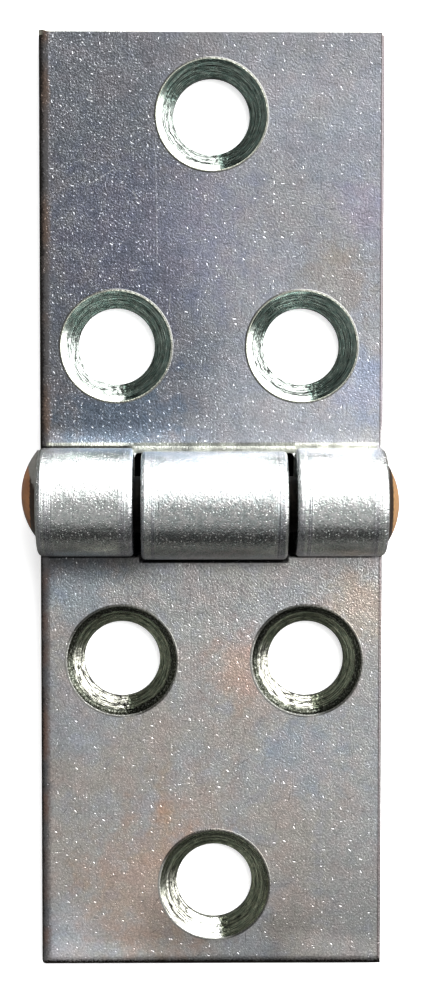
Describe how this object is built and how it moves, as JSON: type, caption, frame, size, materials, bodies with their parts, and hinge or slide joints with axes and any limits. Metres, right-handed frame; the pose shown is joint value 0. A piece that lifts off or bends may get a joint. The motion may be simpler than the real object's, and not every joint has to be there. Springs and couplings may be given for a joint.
{
  "type": "leaf hinge",
  "caption": "Narrow steel leaf hinge lying open, its flat leaves countersunk for screws and rolled into knuckles round a plain pin that is riveted over at its ends.",
  "frame": {"origin": "on the common back plane of the leaves, under the pin axis and midway between the pin's ends", "axes": "+X along the pin, +Y towards the free end of the leaf that carries the outer knuckles, +Z out of the countersunk faces"},
  "size_m": [0.0369, 0.093, 0.0106],
  "materials": {
    "upper_leaf_zinc": "bright zinc plated with a bluish passivation, finely scratched",
    "lower_leaf_zinc": "bright zinc plated, warmer and mottled, finely scratched",
    "pin_copper": "copper coloured, satin, dark in the crevice"
  },
  "bodies": {
    "upper": {"upper_leaf": "upper_leaf_zinc", "hinge_pin": "pin_copper"},
    "lower": {"lower_leaf": "lower_leaf_zinc"}
  },
  "joints": [
    {"name": "hinge_fold", "type": "hinge", "parent": "upper", "child": "lower", "pos_m": [0, 0, 0.0053], "axis": [-1, 0, 0], "range_deg": [-80, 186]}
  ]
}
